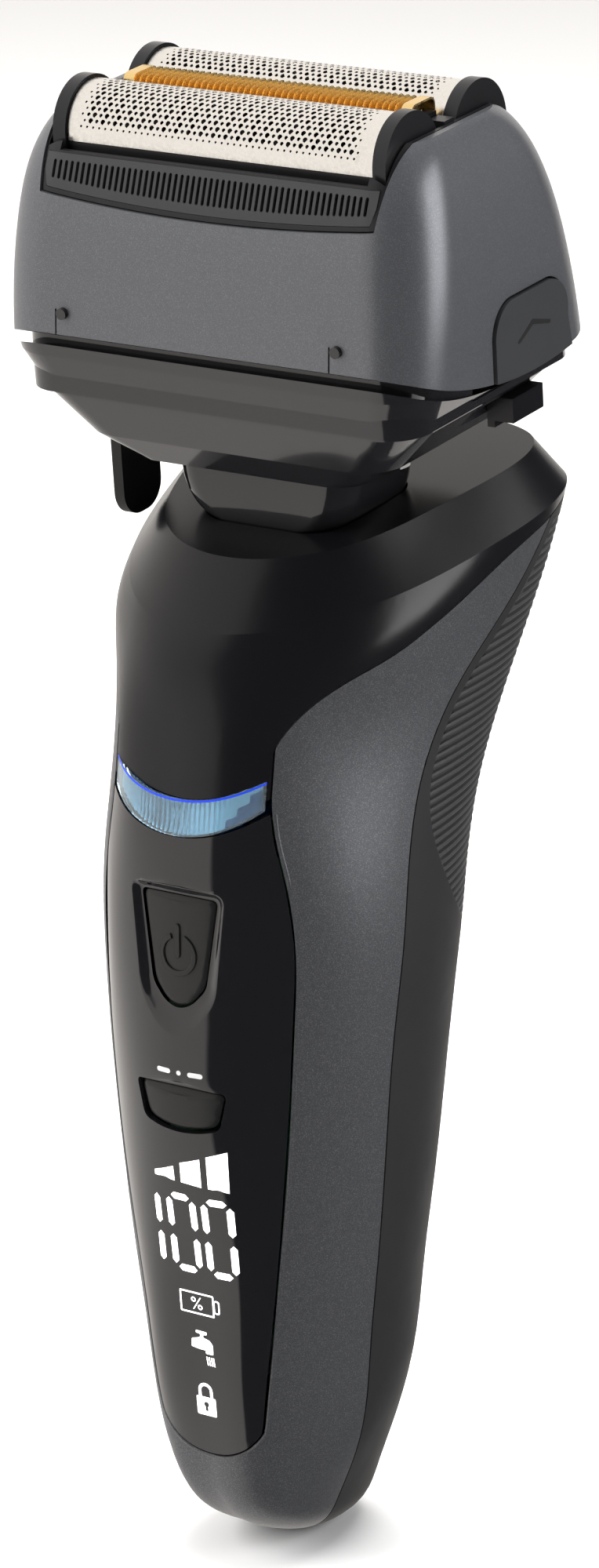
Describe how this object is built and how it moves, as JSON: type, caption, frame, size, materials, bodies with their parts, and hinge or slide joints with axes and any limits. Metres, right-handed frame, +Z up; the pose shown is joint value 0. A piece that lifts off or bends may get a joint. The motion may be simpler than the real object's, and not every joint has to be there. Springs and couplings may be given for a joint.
{
  "type": "electric foil shaver",
  "caption": "Cordless foil shaver: waterproof grip with a glossy key panel, pivoting lift-off head with sprung foils, a gold centre trimmer and combs",
  "frame": {"origin": "On the small flat under the handle, between its front edge and its back edge, under the neck.", "axes": "+Z runs up the handle from the charging inlet to the foils, -Y is the front with the keys, +X is to the right seen from behind."},
  "size_m": [0.055, 0.052, 0.1677],
  "materials": {
    "fascia_black": "piano-black polished front panel",
    "satin_black": "fine satin moulded plastic",
    "blue_lens": "tinted translucent blue light bar",
    "sparkle_grey": "dark grey metallic coat with a fine sparkle",
    "soft_black": "soft-touch black",
    "grip_rubber": "ribbed rubber grip",
    "chassis_plastic": "plain moulded inner plastic",
    "board": "green solder-masked board",
    "steel_small": "bright small steel parts",
    "cell_sleeve": "shrink sleeve on the cell",
    "nickel": "nickel tabs",
    "motor_can": "plated steel can",
    "seal_rubber": "moulded lip seal",
    "gloss_black": "polished black moulding",
    "matte_black": "fine matte texture",
    "blade_steel": "ground blade steel",
    "gold_coat": "gold-coloured coating on the trimmer",
    "head_grey": "dark grey metallic coat",
    "cassette_black": "satin black cassette",
    "button_grey": "dark grey satin press button",
    "comb_grey": "dark grey slotted comb",
    "foil_steel": "thin perforated steel foil"
  },
  "bodies": {
    "handle": {"front_panel": "fascia_black", "upper_housing": "satin_black", "light_bar": "blue_lens", "side_frame": "sparkle_grey", "rear_shell": "soft_black", "grip_pad": "grip_rubber", "charging_socket": "satin_black", "inner_chassis": "chassis_plastic", "main_board": "board", "board_screws": "steel_small", "display_module": "board", "power_switch": "chassis_plastic", "select_switch": "chassis_plastic", "light_guide": "blue_lens", "battery_cell": "cell_sleeve", "battery_tabs": "nickel", "motor": "motor_can", "shaft_seal": "seal_rubber", "neck_post": "gloss_black"},
    "power_key": {"power_key": "fascia_black"},
    "select_key": {"select_key": "fascia_black"},
    "crank": {"drive_crank": "steel_small"},
    "head": {"head_collar": "gloss_black", "side_guard": "matte_black", "pivot_yoke": "steel_small"},
    "lock_slider": {"lock_slider": "satin_black"},
    "carrier": {"cutter_carrier": "chassis_plastic", "cutter_springs": "steel_small"},
    "foil_head": {"foil_frame": "head_grey", "foil_cassette": "cassette_black", "front_comb": "comb_grey", "rear_comb": "comb_grey", "retaining_pins": "gloss_black", "release_springs": "steel_small"},
    "release_right": {"release_button_right": "button_grey"},
    "release_left": {"release_button_left": "button_grey"},
    "front_foil": {"front_foil": "foil_steel", "front_foil_holder": "cassette_black"},
    "rear_foil": {"rear_foil": "foil_steel", "rear_foil_holder": "cassette_black"},
    "trimmer": {"centre_trimmer": "gold_coat", "trimmer_carrier": "gloss_black"},
    "front_cutter": {"front_cutter": "blade_steel"},
    "rear_cutter": {"rear_cutter": "blade_steel"},
    "trimmer_blade": {"trimmer_blade": "blade_steel"}
  },
  "joints": [
    {"name": "power_press", "type": "slide", "parent": "handle", "child": "power_key", "axis": [0, 1, 0], "range_m": [0, 0.0006], "stiffness_N_per_m": 400},
    {"name": "select_press", "type": "slide", "parent": "handle", "child": "select_key", "axis": [0, 1, 0], "range_m": [0, 0.0006], "stiffness_N_per_m": 400},
    {"name": "crank_spin", "type": "hinge", "parent": "handle", "child": "crank", "pos_m": [0, -0.0006, 0.118], "axis": [0, 0, 1], "continuous": true},
    {"name": "head_tilt", "type": "hinge", "parent": "handle", "child": "head", "pos_m": [0, -0.00034, 0.12871], "axis": [1, 0, 0], "range_deg": [-10, 4], "stiffness_Nm_per_rad": 1},
    {"name": "lock_slide", "type": "slide", "parent": "head", "child": "lock_slider", "axis": [0, -0.9945, -0.1045], "range_m": [0, 0.005]},
    {"name": "cutter_stroke", "type": "slide", "parent": "head", "child": "carrier", "axis": [1, 0, 0], "range_m": [-0.001, 0.001]},
    {"name": "head_lift_off", "type": "slide", "parent": "head", "child": "foil_head", "axis": [0, -0.1045, 0.9945], "range_m": [0, 0.03]},
    {"name": "release_press_right", "type": "slide", "parent": "foil_head", "child": "release_right", "axis": [-1, 0, 0], "range_m": [0, 0.001], "stiffness_N_per_m": 400},
    {"name": "release_press_left", "type": "slide", "parent": "foil_head", "child": "release_left", "axis": [1, 0, 0], "range_m": [0, 0.001], "stiffness_N_per_m": 400},
    {"name": "front_foil_float", "type": "slide", "parent": "foil_head", "child": "front_foil", "axis": [0, -0.1045, 0.9945], "range_m": [-0.0012, 0], "stiffness_N_per_m": 300},
    {"name": "rear_foil_float", "type": "slide", "parent": "foil_head", "child": "rear_foil", "axis": [0, -0.1045, 0.9945], "range_m": [-0.0012, 0], "stiffness_N_per_m": 300},
    {"name": "trimmer_float", "type": "slide", "parent": "foil_head", "child": "trimmer", "axis": [0, -0.1045, 0.9945], "range_m": [-0.0012, 0], "stiffness_N_per_m": 300},
    {"name": "front_cutter_float", "type": "slide", "parent": "carrier", "child": "front_cutter", "axis": [0, -0.1045, 0.9945], "range_m": [-0.0012, 0]},
    {"name": "rear_cutter_float", "type": "slide", "parent": "carrier", "child": "rear_cutter", "axis": [0, -0.1045, 0.9945], "range_m": [-0.0012, 0]},
    {"name": "trimmer_blade_float", "type": "slide", "parent": "carrier", "child": "trimmer_blade", "axis": [0, -0.1045, 0.9945], "range_m": [-0.0012, 0]}
  ],
  "couplings": [
    {"joint": "front_cutter_float", "follows": "front_foil_float", "ratio": 1},
    {"joint": "rear_cutter_float", "follows": "rear_foil_float", "ratio": 1},
    {"joint": "trimmer_blade_float", "follows": "trimmer_float", "ratio": 1}
  ]
}
